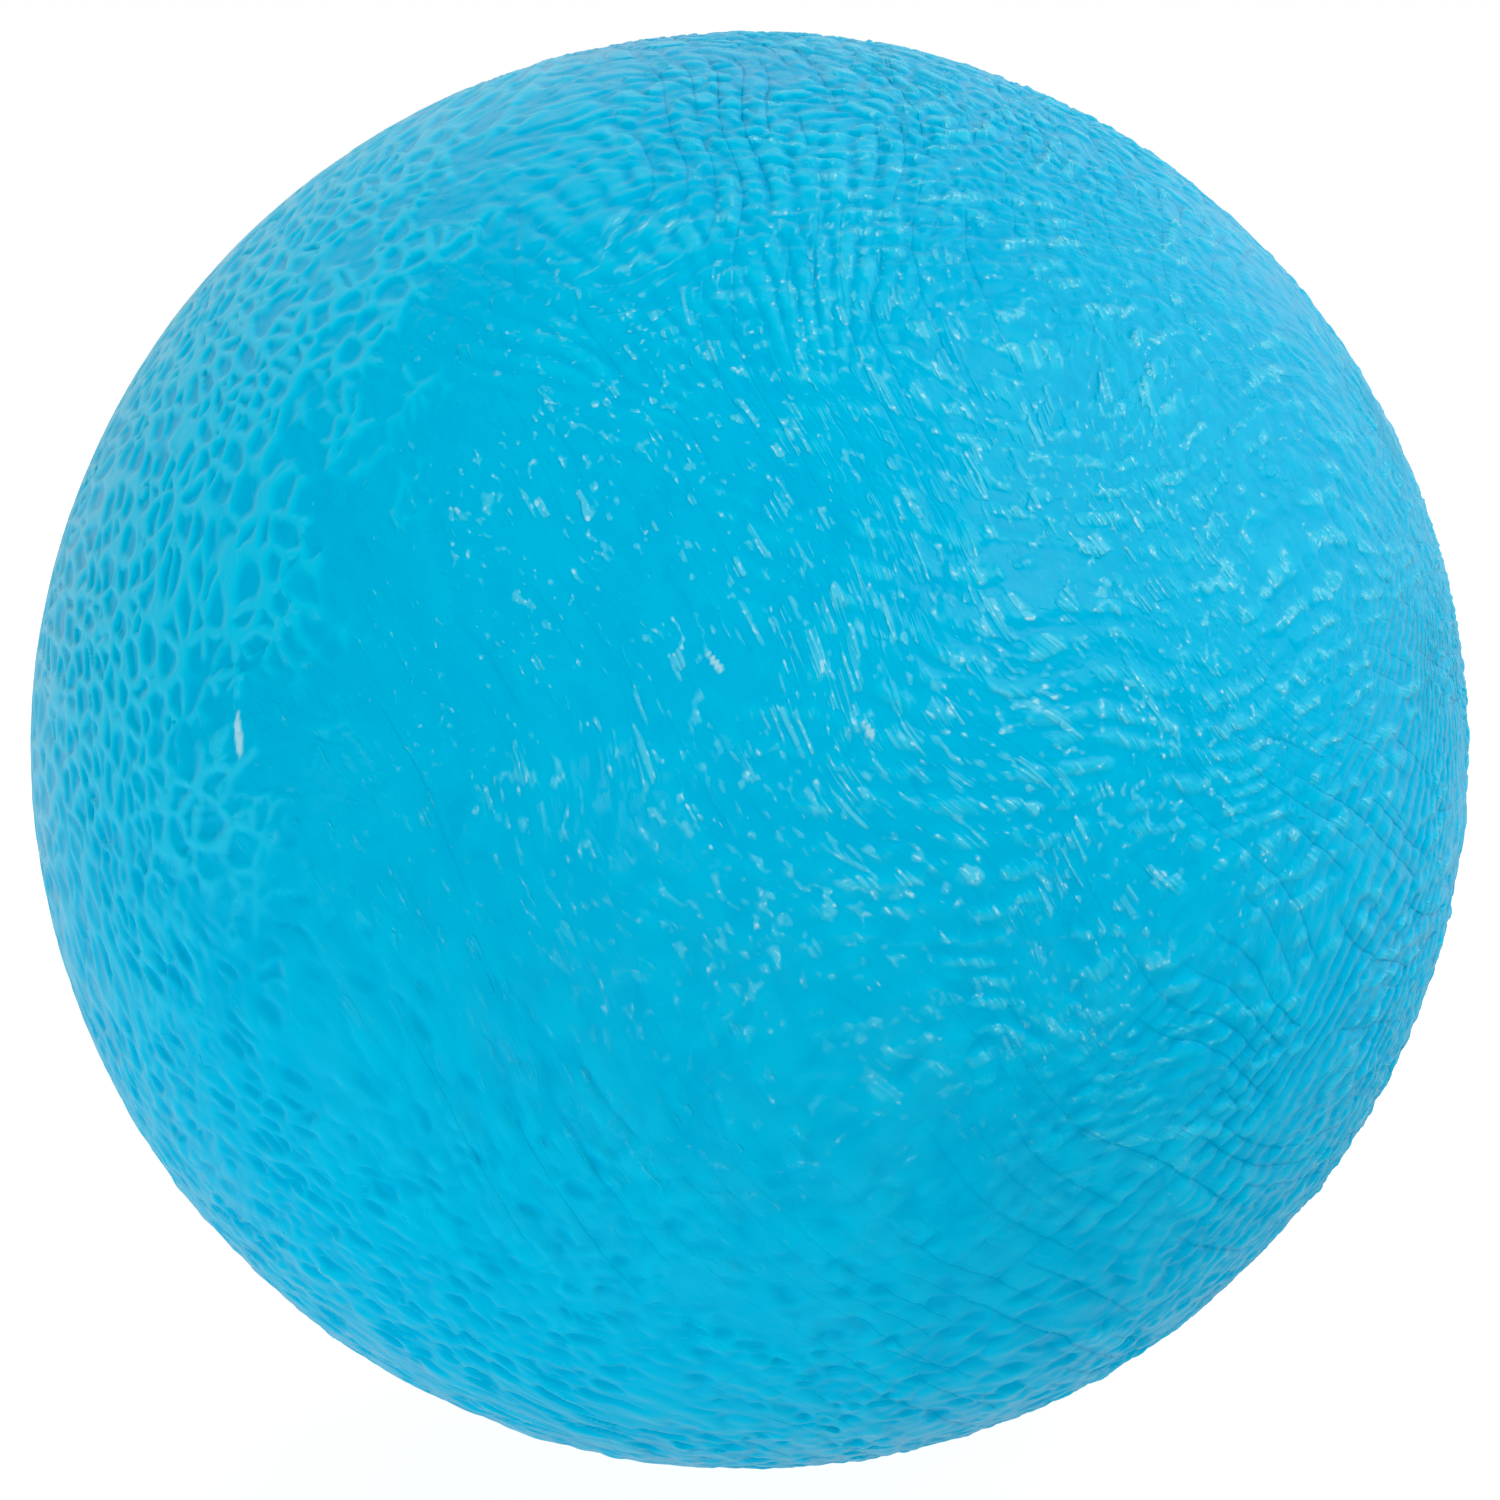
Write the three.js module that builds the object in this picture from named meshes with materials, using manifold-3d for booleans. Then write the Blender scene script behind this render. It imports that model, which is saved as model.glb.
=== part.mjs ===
// Stress ball: a soft moulded skin round a gel-filled bladder, closed at the back by a flush plug.
// Millimetres, +Z up. The origin is the centre of the small flat patch on which the ball rests.
// The filling port faces +Y, so the ball's unbroken face looks towards -Y.
import * as THREE from 'three';
import { mergeVertices } from 'three/addons/utils/BufferGeometryUtils.js';
import Module from 'manifold-3d';

const wasm = await Module();
wasm.setup();

// Driving dimensions
const BALL_RADIUS = 25;
const CONTACT_RADIUS = 4; // the weight of the ball flattens a patch this wide where it rests
const SKIN_WALL = 2.4;
const BLADDER_WALL = 0.8;
const GAP = 0.3; // between neighbouring pieces

// Filling port, along +Y from the ball's centre
const PAD_FACE_Y = 19.6; // inner face of the thick pad round the port
const LEDGE_Y = 23; // floor of the recess that takes the plug's head
const RECESS_RADIUS = 4.5;
const BORE_RADIUS = 3;

// Bladder's neck, inside the port's bore
const NECK_TOP_Y = 21.4;
const NECK_RADIUS = BORE_RADIUS - GAP;
const STOPPER_HEAD_THICKNESS = 0.6;
const STOPPER_HEAD_RADIUS = 2.6;

// Worked out from the above
const CENTRE_HEIGHT = Math.sqrt(BALL_RADIUS ** 2 - CONTACT_RADIUS ** 2);
const CAVITY_RADIUS = BALL_RADIUS - SKIN_WALL;
const BLADDER_RADIUS = CAVITY_RADIUS - GAP;
const BLADDER_INNER_RADIUS = BLADDER_RADIUS - BLADDER_WALL;
const GEL_RADIUS = BLADDER_INNER_RADIUS - GAP;
const BLADDER_FACE_Y = PAD_FACE_Y - GAP;
const BLADDER_INNER_FACE_Y = BLADDER_FACE_Y - BLADDER_WALL;
const GEL_FACE_Y = BLADDER_INNER_FACE_Y - GAP;
const NECK_BORE_RADIUS = NECK_RADIUS - BLADDER_WALL;
const STOPPER_HEAD_Y = NECK_TOP_Y + GAP;
const STOPPER_TOP_Y = STOPPER_HEAD_Y + STOPPER_HEAD_THICKNESS;
const STOPPER_STEM_RADIUS = NECK_BORE_RADIUS - GAP;
const SPIGOT_Y = STOPPER_TOP_Y + GAP;
const SPIGOT_RADIUS = BORE_RADIUS - GAP;
const HEAD_Y = LEDGE_Y + GAP;
const HEAD_RADIUS = RECESS_RADIUS - GAP;

// Facets: the skin is the finest, and each inner piece is coarser
const SKIN_SEGMENTS = 64;
const INNER_SEGMENTS = 40;
const PORT_SEGMENTS = 32;

// Height of a sphere's surface above its centre plane, at a distance r from the axis
const heightAt = (radius, r) => Math.sqrt(radius ** 2 - r ** 2);

// Points on a meridian from height y0 to height y1. Seen from the axis, the steps are equal angles.
function meridian(radius, y0, y1, steps) {
  const from = Math.asin(y0 / radius);
  const to = Math.asin(y1 / radius);
  const points = [];
  for (let i = 0; i <= steps; i += 1) {
    const angle = from + ((to - from) * i) / steps;
    const onAxis = Math.abs(Math.cos(angle)) < 1e-9;
    points.push(new THREE.Vector2(onAxis ? 0 : radius * Math.cos(angle), radius * Math.sin(angle)));
  }
  return points;
}

const corner = (r, y) => new THREE.Vector2(r, y);

function toSolid(geometry) {
  const bare = geometry.clone();
  bare.deleteAttribute('normal');
  bare.deleteAttribute('uv');
  const merged = mergeVertices(bare, 1e-5);
  const mesh = new wasm.Mesh({
    numProp: 3,
    vertProperties: new Float32Array(merged.attributes.position.array),
    triVerts: new Uint32Array(merged.index.array),
  });
  return new wasm.Manifold(mesh);
}

function toGeometry(solid) {
  const mesh = solid.getMesh();
  const geometry = new THREE.BufferGeometry();
  geometry.setAttribute('position', new THREE.BufferAttribute(mesh.vertProperties, 3));
  geometry.setIndex(new THREE.BufferAttribute(mesh.triVerts, 1));
  geometry.computeVertexNormals();
  return geometry;
}

const group = new THREE.Group();

// The ball's own centre, from which every profile is measured
const ball = new THREE.Group();
ball.position.z = CENTRE_HEIGHT;
group.add(ball);

function addPiece(name, geometry, colour, roughness) {
  const material = new THREE.MeshStandardMaterial({ color: colour, roughness, metalness: 0 });
  const mesh = new THREE.Mesh(geometry, material);
  mesh.name = name;
  ball.add(mesh);
}

// Outer skin: moulded shell with a stepped port in a thick pad, flattened where the ball rests
function outerSkin() {
  const profile = [
    ...meridian(BALL_RADIUS, -BALL_RADIUS, heightAt(BALL_RADIUS, RECESS_RADIUS), 30),
    corner(RECESS_RADIUS, LEDGE_Y),
    corner(BORE_RADIUS, LEDGE_Y),
    corner(BORE_RADIUS, PAD_FACE_Y),
    ...meridian(CAVITY_RADIUS, PAD_FACE_Y, -CAVITY_RADIUS, 16),
  ];
  const shell = toSolid(new THREE.LatheGeometry(profile, SKIN_SEGMENTS));
  const slab = new THREE.BoxGeometry(3 * BALL_RADIUS, 3 * BALL_RADIUS, BALL_RADIUS);
  slab.translate(0, 0, -CENTRE_HEIGHT - BALL_RADIUS / 2);
  return toGeometry(shell.subtract(toSolid(slab)));
}

// Bladder: thin bag that holds the gel, with a neck that stands in the port's bore
function innerBladder() {
  const profile = [
    ...meridian(BLADDER_RADIUS, -BLADDER_RADIUS, BLADDER_FACE_Y, 16),
    corner(NECK_RADIUS, BLADDER_FACE_Y),
    corner(NECK_RADIUS, NECK_TOP_Y),
    corner(NECK_BORE_RADIUS, NECK_TOP_Y),
    corner(NECK_BORE_RADIUS, BLADDER_INNER_FACE_Y),
    ...meridian(BLADDER_INNER_RADIUS, BLADDER_INNER_FACE_Y, -BLADDER_INNER_RADIUS, 16),
  ];
  return new THREE.LatheGeometry(profile, INNER_SEGMENTS);
}

// Gel: the soft filling that gives the ball its squeeze
function gelCore() {
  const profile = [...meridian(GEL_RADIUS, -GEL_RADIUS, GEL_FACE_Y, 16), corner(0, GEL_FACE_Y)];
  return new THREE.LatheGeometry(profile, INNER_SEGMENTS);
}

// Stopper: closes the bladder's neck once the gel is in
function bladderStopper() {
  const profile = [
    corner(0, BLADDER_INNER_FACE_Y),
    corner(STOPPER_STEM_RADIUS, BLADDER_INNER_FACE_Y),
    corner(STOPPER_STEM_RADIUS, STOPPER_HEAD_Y),
    corner(STOPPER_HEAD_RADIUS, STOPPER_HEAD_Y),
    corner(STOPPER_HEAD_RADIUS, STOPPER_TOP_Y),
    corner(0, STOPPER_TOP_Y),
  ];
  return new THREE.LatheGeometry(profile, PORT_SEGMENTS);
}

// Port plug: spigot in the bore and a head whose face carries on the ball's curve
function portPlug() {
  const profile = [
    corner(0, SPIGOT_Y),
    corner(SPIGOT_RADIUS, SPIGOT_Y),
    corner(SPIGOT_RADIUS, HEAD_Y),
    corner(HEAD_RADIUS, HEAD_Y),
    ...meridian(BALL_RADIUS, heightAt(BALL_RADIUS, HEAD_RADIUS), BALL_RADIUS, 4),
  ];
  return new THREE.LatheGeometry(profile, PORT_SEGMENTS);
}

addPiece('outer_skin', outerSkin(), 0x0ab4dc, 0.42);
addPiece('inner_bladder', innerBladder(), 0xcfe6ee, 0.35);
addPiece('gel_core', gelCore(), 0xb9e3f2, 0.2);
addPiece('bladder_stopper', bladderStopper(), 0xe6e9ea, 0.5);
addPiece('port_plug', portPlug(), 0x0ab4dc, 0.45);

export default group;
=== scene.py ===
"""Looks of the stress ball: a wrinkled rubber skin, its port plug and what the skin holds.

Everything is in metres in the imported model's frame: +Z up, the plug towards +Y, the camera on the -Y side.
"""

import itertools
import math

import bpy
import numpy as np
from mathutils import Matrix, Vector


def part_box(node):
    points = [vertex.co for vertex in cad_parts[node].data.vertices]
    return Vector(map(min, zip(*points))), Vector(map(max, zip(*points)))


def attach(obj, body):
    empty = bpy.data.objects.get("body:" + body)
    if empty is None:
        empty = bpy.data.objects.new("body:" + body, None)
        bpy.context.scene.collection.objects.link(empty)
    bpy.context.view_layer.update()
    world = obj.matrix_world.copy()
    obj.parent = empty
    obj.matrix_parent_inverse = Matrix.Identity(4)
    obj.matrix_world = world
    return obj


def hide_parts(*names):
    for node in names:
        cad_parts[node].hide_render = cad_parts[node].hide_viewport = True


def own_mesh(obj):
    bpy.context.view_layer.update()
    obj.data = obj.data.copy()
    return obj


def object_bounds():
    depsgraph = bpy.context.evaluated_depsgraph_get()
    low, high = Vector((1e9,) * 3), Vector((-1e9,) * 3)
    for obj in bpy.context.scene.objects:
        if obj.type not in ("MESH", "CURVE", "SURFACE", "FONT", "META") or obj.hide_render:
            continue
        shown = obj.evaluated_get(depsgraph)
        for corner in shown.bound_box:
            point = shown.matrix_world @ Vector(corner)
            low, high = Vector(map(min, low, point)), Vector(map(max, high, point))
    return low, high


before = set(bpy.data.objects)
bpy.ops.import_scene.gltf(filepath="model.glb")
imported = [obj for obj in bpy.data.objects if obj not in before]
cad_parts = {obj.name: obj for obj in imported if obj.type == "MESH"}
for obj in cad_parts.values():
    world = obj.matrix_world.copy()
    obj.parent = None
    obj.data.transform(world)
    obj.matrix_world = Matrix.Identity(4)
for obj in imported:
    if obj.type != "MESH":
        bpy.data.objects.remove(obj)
cad_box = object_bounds()

MM = 0.001

# The ball, read from the frame
_, skin_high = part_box("outer_skin")
plug_low, plug_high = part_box("port_plug")
RADIUS = (cad_box[1].y - cad_box[0].y) / 2
CENTRE = Vector((0, 0, skin_high.z - RADIUS))
FLOOR_DEPTH = CENTRE.z  # how far the resting patch lies below the centre

GAP = 0.3 * MM  # between neighbouring pieces
SKIN_WALL = 2.4 * MM
CAVITY_RADIUS = RADIUS - SKIN_WALL
BLADDER_WALL = 0.8 * MM

# Filling port, as heights above the centre along +Y and distances from that axis
HEAD_RADIUS = (plug_high.x - plug_low.x) / 2
RECESS_RADIUS = HEAD_RADIUS + GAP
BORE_RADIUS = 3 * MM
LEDGE_Y = 23 * MM
PAD_FACE_Y = 19.6 * MM
PORT_ROUNDING = 0.2 * MM  # at the edges of the port and of the plug
NECK_TOP_Y = 21.4 * MM
STOPPER_HEAD_RADIUS = 2.6 * MM
STOPPER_TOP_Y = 22.3 * MM

# Camera: it looks along +Y and a little down. The ball's outline takes up this share of the picture's width
BALL_SHARE_OF_PICTURE = 1437 / 1500
CAMERA_ELEVATION = math.radians(10)
VIEW_RIGHT = np.array([1, 0, 0])
VIEW_UP = np.array([0, math.sin(CAMERA_ELEVATION), math.cos(CAMERA_ELEVATION)])
VIEW_BACK = np.array([0, -math.cos(CAMERA_ELEVATION), math.sin(CAMERA_ELEVATION)])

# Brightness of the room round the ball, and the grey that the picture's grade takes off
WORLD_BEHIND_BALL = 0.7
WORLD_BEHIND_CAMERA = 0.06
BLACK_LEVEL = 0.019

# Rows of ridges round the grain's pole, about 0.95 mm apart where they are furthest apart
ROW_COUNT = 165

# Heights and depths of the grain, in millimetres
PIT_DEPTH = 0.11
PILLOW_HEIGHT = 0.1
FOLD_HEIGHT = 0.065
RIB_HEIGHT = 0.075
CREASE_DEPTH = 0.09
ROW_DEPTH = 0.1
BLOCK_HEIGHT = 0.13
LONG_CREASE_DEPTH = 0.03
MARK_HEIGHT = 0.06

# Single raised marks, each with a painted highlight: a drop left of the middle and two dashes by the middle.
# Each has its place to the camera's right and up, its lean in degrees, and half its width and length in
# millimetres
SINGLE_MARKS = [(-0.612, 0.02, 8, 0.2, 1.0), (-0.04, 0.1, 35, 0.13, 0.5), (0.135, 0.023, 30, 0.13, 0.45)]

# Facets along a quarter of the ball's girth, round its inside and round the turned pieces
STEPS = 320
INSIDE_SEGMENTS = 160
PLUG_SEGMENTS = 192
FILLING_SEGMENTS = 144
STOPPER_SEGMENTS = 96

RIPPLE = 0.12 * MM  # of the bladder and the gel

# Unwrapping of the skin: a strip for the inside, then two rows of three squares
UNWRAP_MARGIN = 0.003
UNWRAP_FOOT = 0.06
UNWRAP_ROW = 0.47


def seen_from_camera(right, up, back):
    """The unit direction that lies so far to the camera's right, up and towards the camera."""
    direction = right * VIEW_RIGHT + up * VIEW_UP + back * VIEW_BACK
    return direction / np.linalg.norm(direction)


# The grain has a pole, as a moulded ball's does: creases circle it and rows of ridges radiate from it
GRAIN_POLE = seen_from_camera(0.8, 0.5, 0.31)
GRAIN_SIDE = np.cross(GRAIN_POLE, VIEW_UP)
GRAIN_SIDE /= np.linalg.norm(GRAIN_SIDE)
GRAIN_FRAME = np.array([GRAIN_SIDE, np.cross(GRAIN_POLE, GRAIN_SIDE), GRAIN_POLE])

# The skin's folds run round a place of their own, near the top
FOLD_POLE = seen_from_camera(0.1, 0.9, 0.42) @ GRAIN_FRAME.T
FOLD_PITCH_MM = 0.95

# Fine ribs fan out upwards from a place a little above the middle
FAN_FOCUS_SEEN = (0.1, 0.25, 0.96)
FAN_FOCUS = seen_from_camera(*FAN_FOCUS_SEEN)
FAN_COUNT = 84


# ---------------------------------------------------------------- fields on the sphere

def smoothstep(low, high, x):
    t = np.clip((x - low) / (high - low), 0, 1)
    return t * t * (3 - 2 * t)


def hashed(cells, salt):
    """A number from 0 to 1 for each whole-number cell, the same on every run."""
    cells = cells.astype(np.int64).astype(np.uint32)
    x = cells[:, 0] * np.uint32(0x8DA6B343)
    x ^= cells[:, 1] * np.uint32(0xD8163841)
    x ^= cells[:, 2] * np.uint32(0xCB1AB31F)
    x += np.uint32(salt * 0x9E3779B9 & 0xFFFFFFFF)
    for shift, factor in ((16, 0x7FEB352D), (15, 0x846CA68B)):
        x ^= x >> np.uint32(shift)
        x *= np.uint32(factor)
    x ^= x >> np.uint32(16)
    return x.astype(np.float64) / 2**32


def noise(points, salt):
    """Smooth noise from -1 to 1, with features about one unit across."""
    base = np.floor(points)
    part = points - base
    fade = part * part * part * (part * (part * 6 - 15) + 10)
    total = np.zeros(len(points))
    for corner in itertools.product((0, 1), repeat=3):
        share = np.prod(np.where(corner, fade, 1 - fade), axis=1)
        total += share * hashed(base + corner, salt)
    return 2 * total - 1


def fractal(points, octaves, salt):
    total = np.zeros(len(points))
    size = 0.0
    for i in range(octaves):
        total += noise(points * 2**i, salt + i) / 2**i
        size += 0.5**i
    return total / size


def cells(points, normals, along, stretch, salt):
    """For a scatter of seeds about one unit apart, stretched along a direction: the distances over the
    surface to the edge of the nearest seed's cell and to its middle, the distance to the seed, and its own
    number from 0 to 1."""
    base = np.floor(points)
    first, second = np.full(len(points), 9.0), np.full(len(points), 9.0)
    first_at, second_at = np.zeros_like(points), np.zeros_like(points)
    owner = np.zeros(len(points))
    for offset in itertools.product((-1, 0, 1), repeat=3):
        cell = base + offset
        apart = cell + np.stack([hashed(cell, salt + i) for i in range(3)], axis=1) - points
        apart -= ((apart * along).sum(1) * (1 - 1 / stretch))[:, None] * along
        distance = np.sqrt((apart**2).sum(1))
        nearest = distance < first
        next_one = ~nearest & (distance < second)
        second = np.where(nearest, first, np.where(next_one, distance, second))
        second_at[nearest] = first_at[nearest]
        second_at[next_one] = apart[next_one]
        first_at[nearest] = apart[nearest]
        owner = np.where(nearest, hashed(cell, salt + 7), owner)
        first = np.where(nearest, distance, first)
    between = second_at - first_at
    between -= (between * normals).sum(1)[:, None] * normals
    edge = (second**2 - first**2) / (2 * np.maximum(np.linalg.norm(between, axis=1), 0.1))
    middle = np.sqrt(np.maximum(first**2 - (first_at * normals).sum(1) ** 2, 0))
    return edge, middle, first, owner


# ---------------------------------------------------------------- the skin's relief

def grain_coordinates(directions):
    """Directions in the grain's own frame, with a slow wander so that no line is a true circle."""
    wander = np.stack([fractal(directions * 2.2, 2, 40 + 10 * i) for i in range(3)], axis=1)
    bent = directions + 0.10 * wander
    bent /= np.linalg.norm(bent, axis=1, keepdims=True)
    return bent @ GRAIN_FRAME.T


def along_and_round(normals):
    """Distance from the pole along the surface, and the place round it, in millimetres at the girth."""
    radius_mm = RADIUS / MM
    turn = np.arccos(np.clip(normals[:, 2], -1, 1))
    sine = np.maximum(np.sin(turn), 0.05)
    round_pole = normals[:, :2] / sine[:, None]
    return turn * radius_mm, round_pole * radius_mm


class Grain:
    """The skin's points in the grain's own frame, in millimetres, and the regions that they lie in."""

    def __init__(self, directions):
        self.directions = directions
        self.normals = grain_coordinates(directions)
        self.points = self.normals * (RADIUS / MM)
        self.along, self.around = along_and_round(self.normals)
        self.turn = np.degrees(self.along * MM / RADIUS)
        self.round_pole = np.arctan2(self.around[:, 1], self.around[:, 0]) / (2 * math.pi)
        self.warp = np.stack([noise(self.points / 0.9, 90 + i) for i in range(3)], axis=1)
        self.find_ways()
        self.find_regions()

    def find_ways(self):
        """The ways in which cells are drawn out: with the creases, or nearly level."""
        round_way = np.stack([-self.around[:, 1], self.around[:, 0], np.zeros(len(self.around))], axis=1)
        self.crease_way = round_way * MM / RADIUS
        level = VIEW_RIGHT @ GRAIN_FRAME.T + 0.5 * self.crease_way
        level -= (level * self.normals).sum(1)[:, None] * self.normals
        self.level_way = level / np.maximum(np.linalg.norm(level, axis=1, keepdims=True), 0.1)

    def find_regions(self):
        """How much of each region there is at each point, from 0 to 1."""
        front, upward = self.directions @ VIEW_BACK, self.directions @ VIEW_UP
        self.left = np.maximum(self.near((-1.0, 0.35, 0.0), 36, 74), smoothstep(0.1, -0.6, front))
        self.below = self.near((0.05, -1.0, 0.1), 30, 62)
        self.pitted = np.maximum(self.below, self.near((-0.6, -0.7, 0.3), 25, 58))
        self.lower = smoothstep(0.2, -0.45, upward) * (1 - 0.6 * self.left)
        self.below_middle = smoothstep(0.35, -0.1, upward)
        self.top = self.near((0.0, 1.0, 0.15), 22, 58)
        self.upper_right = self.near((0.62, 0.6, 0.5), 14, 38)
        self.lower_right = self.near((0.8, -0.6, 0.2), 24, 60)
        self.right_half = smoothstep(0.0, 0.6, self.directions @ seen_from_camera(1.0, 0.25, 0.3))
        self.right_rim = self.right_half * smoothstep(0.72, 0.4, front)
        self.off_pole = smoothstep(5, 16, self.turn) * smoothstep(174, 160, self.turn)
        creased = np.maximum(self.top, np.maximum(self.lower_right, self.right_rim))
        self.creased = creased * self.off_pole * (1 - 0.8 * self.left)
        self.fan = self.near((-0.02, 0.68, 0.73), 12, 34) * (1 - self.left)

    def near(self, place, inner, outer):
        """1 within inner degrees of a place that the camera sees, fading to 0 at outer degrees."""
        cosine = self.directions @ seen_from_camera(*place)
        return smoothstep(math.cos(math.radians(outer)), math.cos(math.radians(inner)), cosine)

    def ringed(self, across, lengthwise, salt):
        """Noise drawn out round the pole: its features' size across the creases and along them."""
        size = np.array([across, lengthwise, lengthwise])
        return noise(np.column_stack([self.along, self.around]) / size, salt)


def raised_lines(grain):
    """Raised lines round flat cells. They break into arcs before they fade."""
    left = grain.left
    warped = grain.points / 1.05 + 0.2 * grain.warp
    edge, middle, _, _ = cells(warped, grain.normals, grain.crease_way, 1.3, 100)
    line = smoothstep(0.19 + 0.13 * left, 0.0, np.minimum(edge, 0.75 - 0.15 * left - middle))
    kept = smoothstep(-0.3, 0.15, fractal(grain.points / 1.6, 2, 130) + 1.15 * (left - 0.5))
    kept *= smoothstep(0.0, 0.6, left) * (1 - 0.5 * grain.pitted)
    return line * kept


def pits(grain):
    """Lens-shaped pits."""
    warped = grain.points / 0.85 + 0.3 * grain.warp
    edge, _, from_seed, own = cells(warped, grain.normals, grain.level_way, 2.1, 400)
    pit = smoothstep(0.5, 0.15, from_seed) * smoothstep(0.0, 0.14, edge)
    return pit * smoothstep(0.1, 0.7, own) * grain.pitted


def pillows(grain):
    """Soft pillows between the pits."""
    points, way = grain.points, grain.level_way
    flattened = points - 0.5 * (points * way).sum(1)[:, None] * way
    pillow = noise(flattened / 0.75, 420) + 0.4 * noise(points / 0.5, 421)
    pillow = np.sqrt(pillow**2 + 0.004)
    where = grain.lower * (0.4 + 0.6 * smoothstep(-0.3, 0.3, noise(points / 2.5, 422)))
    return (pillow - 0.25) * where


def folds(grain):
    """Wavy, broken ridges at an even pitch."""
    points = grain.points
    sway = 0.8 * noise(points / 4.5, 300) + 0.32 * noise(points / 1.5, 260) + 0.15 * noise(points / 0.6, 261)
    from_pole = np.arccos(np.clip(grain.normals @ FOLD_POLE, -1, 1)) * RADIUS / MM
    fold = smoothstep(0.5, 1.0, np.abs(np.cos(math.pi * (from_pole / FOLD_PITCH_MM + sway))))
    fold *= 0.2 + 0.8 * smoothstep(-0.35, 0.15, noise(points / 1.2, 302))
    fold *= 0.25 + 0.75 * smoothstep(-0.35, 0.3, noise(points / 0.38, 303))
    fold *= np.maximum(grain.right_half, 0.7 * grain.fan) * (1 - grain.left) * (1 - grain.pitted)
    return fold


def ribs(grain):
    """Ribs that fan out upwards, and how much of them there is."""
    directions, points = grain.directions, grain.points
    fan_right = np.cross(VIEW_UP, FAN_FOCUS)
    turn = np.arctan2(directions @ fan_right, directions @ np.cross(FAN_FOCUS, fan_right))
    waves = turn * FAN_COUNT / (2 * math.pi) + 0.35 * noise(points / 2.5, 310)
    waves += 0.1 * noise(points / 0.7, 311)
    rib = smoothstep(0.1, 0.9, np.abs(np.cos(math.pi * waves)))
    rib *= 0.65 + 0.35 * smoothstep(-0.3, 0.3, noise(points / 0.5, 313))
    where = grain.near((-0.14, 0.62, 0.77), 12, 33) * (1 - grain.left)
    where *= smoothstep(-1.3, -0.85, turn) * smoothstep(0.6, 0.1, turn)
    where *= 1 - grain.near(FAN_FOCUS_SEEN, 6, 17)
    where *= 0.45 + 0.55 * smoothstep(-0.3, 0.2, noise(points / 1.8, 312))
    return rib, where


def creases(grain):
    """Creases round the pole, each one broken here and there: how many bands from the pole each point is, and
    how much of a crease there is between its bands."""
    bands = grain.along / 0.85 + 0.4 * grain.ringed(3.0, 9.0, 210) + 0.07 * noise(grain.points / 0.8, 211)
    nearest = np.column_stack([np.round(bands) * 1.7, grain.around / 5.0])
    where = smoothstep(-0.15, 0.25, noise(nearest, 220)) * grain.off_pole * (1 - grain.left)
    where *= np.maximum(0.2 + 0.8 * grain.creased, 0.5 * grain.fan)
    return bands, where


def pillow_rows(grain, bands):
    """Rows of pillows between the creases: how many rows round the pole each point is, and how much of a gap
    there is between its rows."""
    band = np.floor(bands)
    rows = grain.round_pole * ROW_COUNT + 0.8 * grain.ringed(6.0, 4.0, 205)
    rows += 0.35 * hashed(np.column_stack([band, band * 0, band * 0]), 231)
    rows += 0.08 * noise(grain.points / 0.9, 206)
    where = grain.creased * (0.4 + 0.6 * smoothstep(-0.4, 0.3, noise(grain.points / 1.8, 207)))
    where *= (1 - 0.6 * grain.below) * (1 - 0.75 * grain.top) * smoothstep(12, 26, grain.turn)
    return rows, where


def blocks(grain):
    """Crumpled blocks at the top, fainter at the upper right, and how much of them there is."""
    where = np.maximum(grain.top, 0.5 * np.maximum(grain.right_rim, grain.upper_right)) * (1 - grain.left)
    warped = grain.points / 0.95 + 0.35 * grain.warp
    edge, _, _, own = cells(warped, grain.normals, grain.level_way, 1.6, 600)
    return smoothstep(0.02, 0.24, edge) * (0.5 + 0.5 * own), where


def long_creases(grain):
    """A few long creases below the middle: how far each point is from one, and how much of it there is."""
    away = grain.ringed(2.2, 14.0, 215) + 0.06 * noise(grain.points / 1.5, 216)
    where = smoothstep(0.0, 0.4, grain.ringed(3.0, 4.0, 225)) * grain.below_middle * (1 - 0.7 * grain.left)
    return away, where


def lumps(grain):
    """Soft lumps over a slow swell, in millimetres."""
    lump = grain.ringed(0.9, 1.9, 250) + 0.6 * noise(grain.points / 0.55, 251)
    lump *= (0.016 + 0.024 * grain.lower) * (1 - 0.8 * grain.left)
    return lump + 0.018 * fractal(grain.points / 3.0, 3, 240)


def single_marks(directions):
    """1 on the few marks that stand out by themselves, each broader at its foot."""
    total = np.zeros(len(directions))
    for right, up, lean, half_width, half_length in SINGLE_MARKS:
        middle = seen_from_camera(right, up, math.sqrt(1 - right**2 - up**2))
        lengthwise = math.cos(math.radians(lean)) * VIEW_UP - math.sin(math.radians(lean)) * VIEW_RIGHT
        lengthwise = lengthwise - (lengthwise @ middle) * middle
        lengthwise /= np.linalg.norm(lengthwise)
        x = directions @ np.cross(lengthwise, middle) * RADIUS / MM
        y = directions @ lengthwise * RADIUS / MM / half_length
        width = half_width * (1 - 0.4 * np.clip(y, -1, 1))
        total += smoothstep(1.0, 0.45, np.hypot(x / width, y)) * (directions @ middle > 0)
    return total


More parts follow.
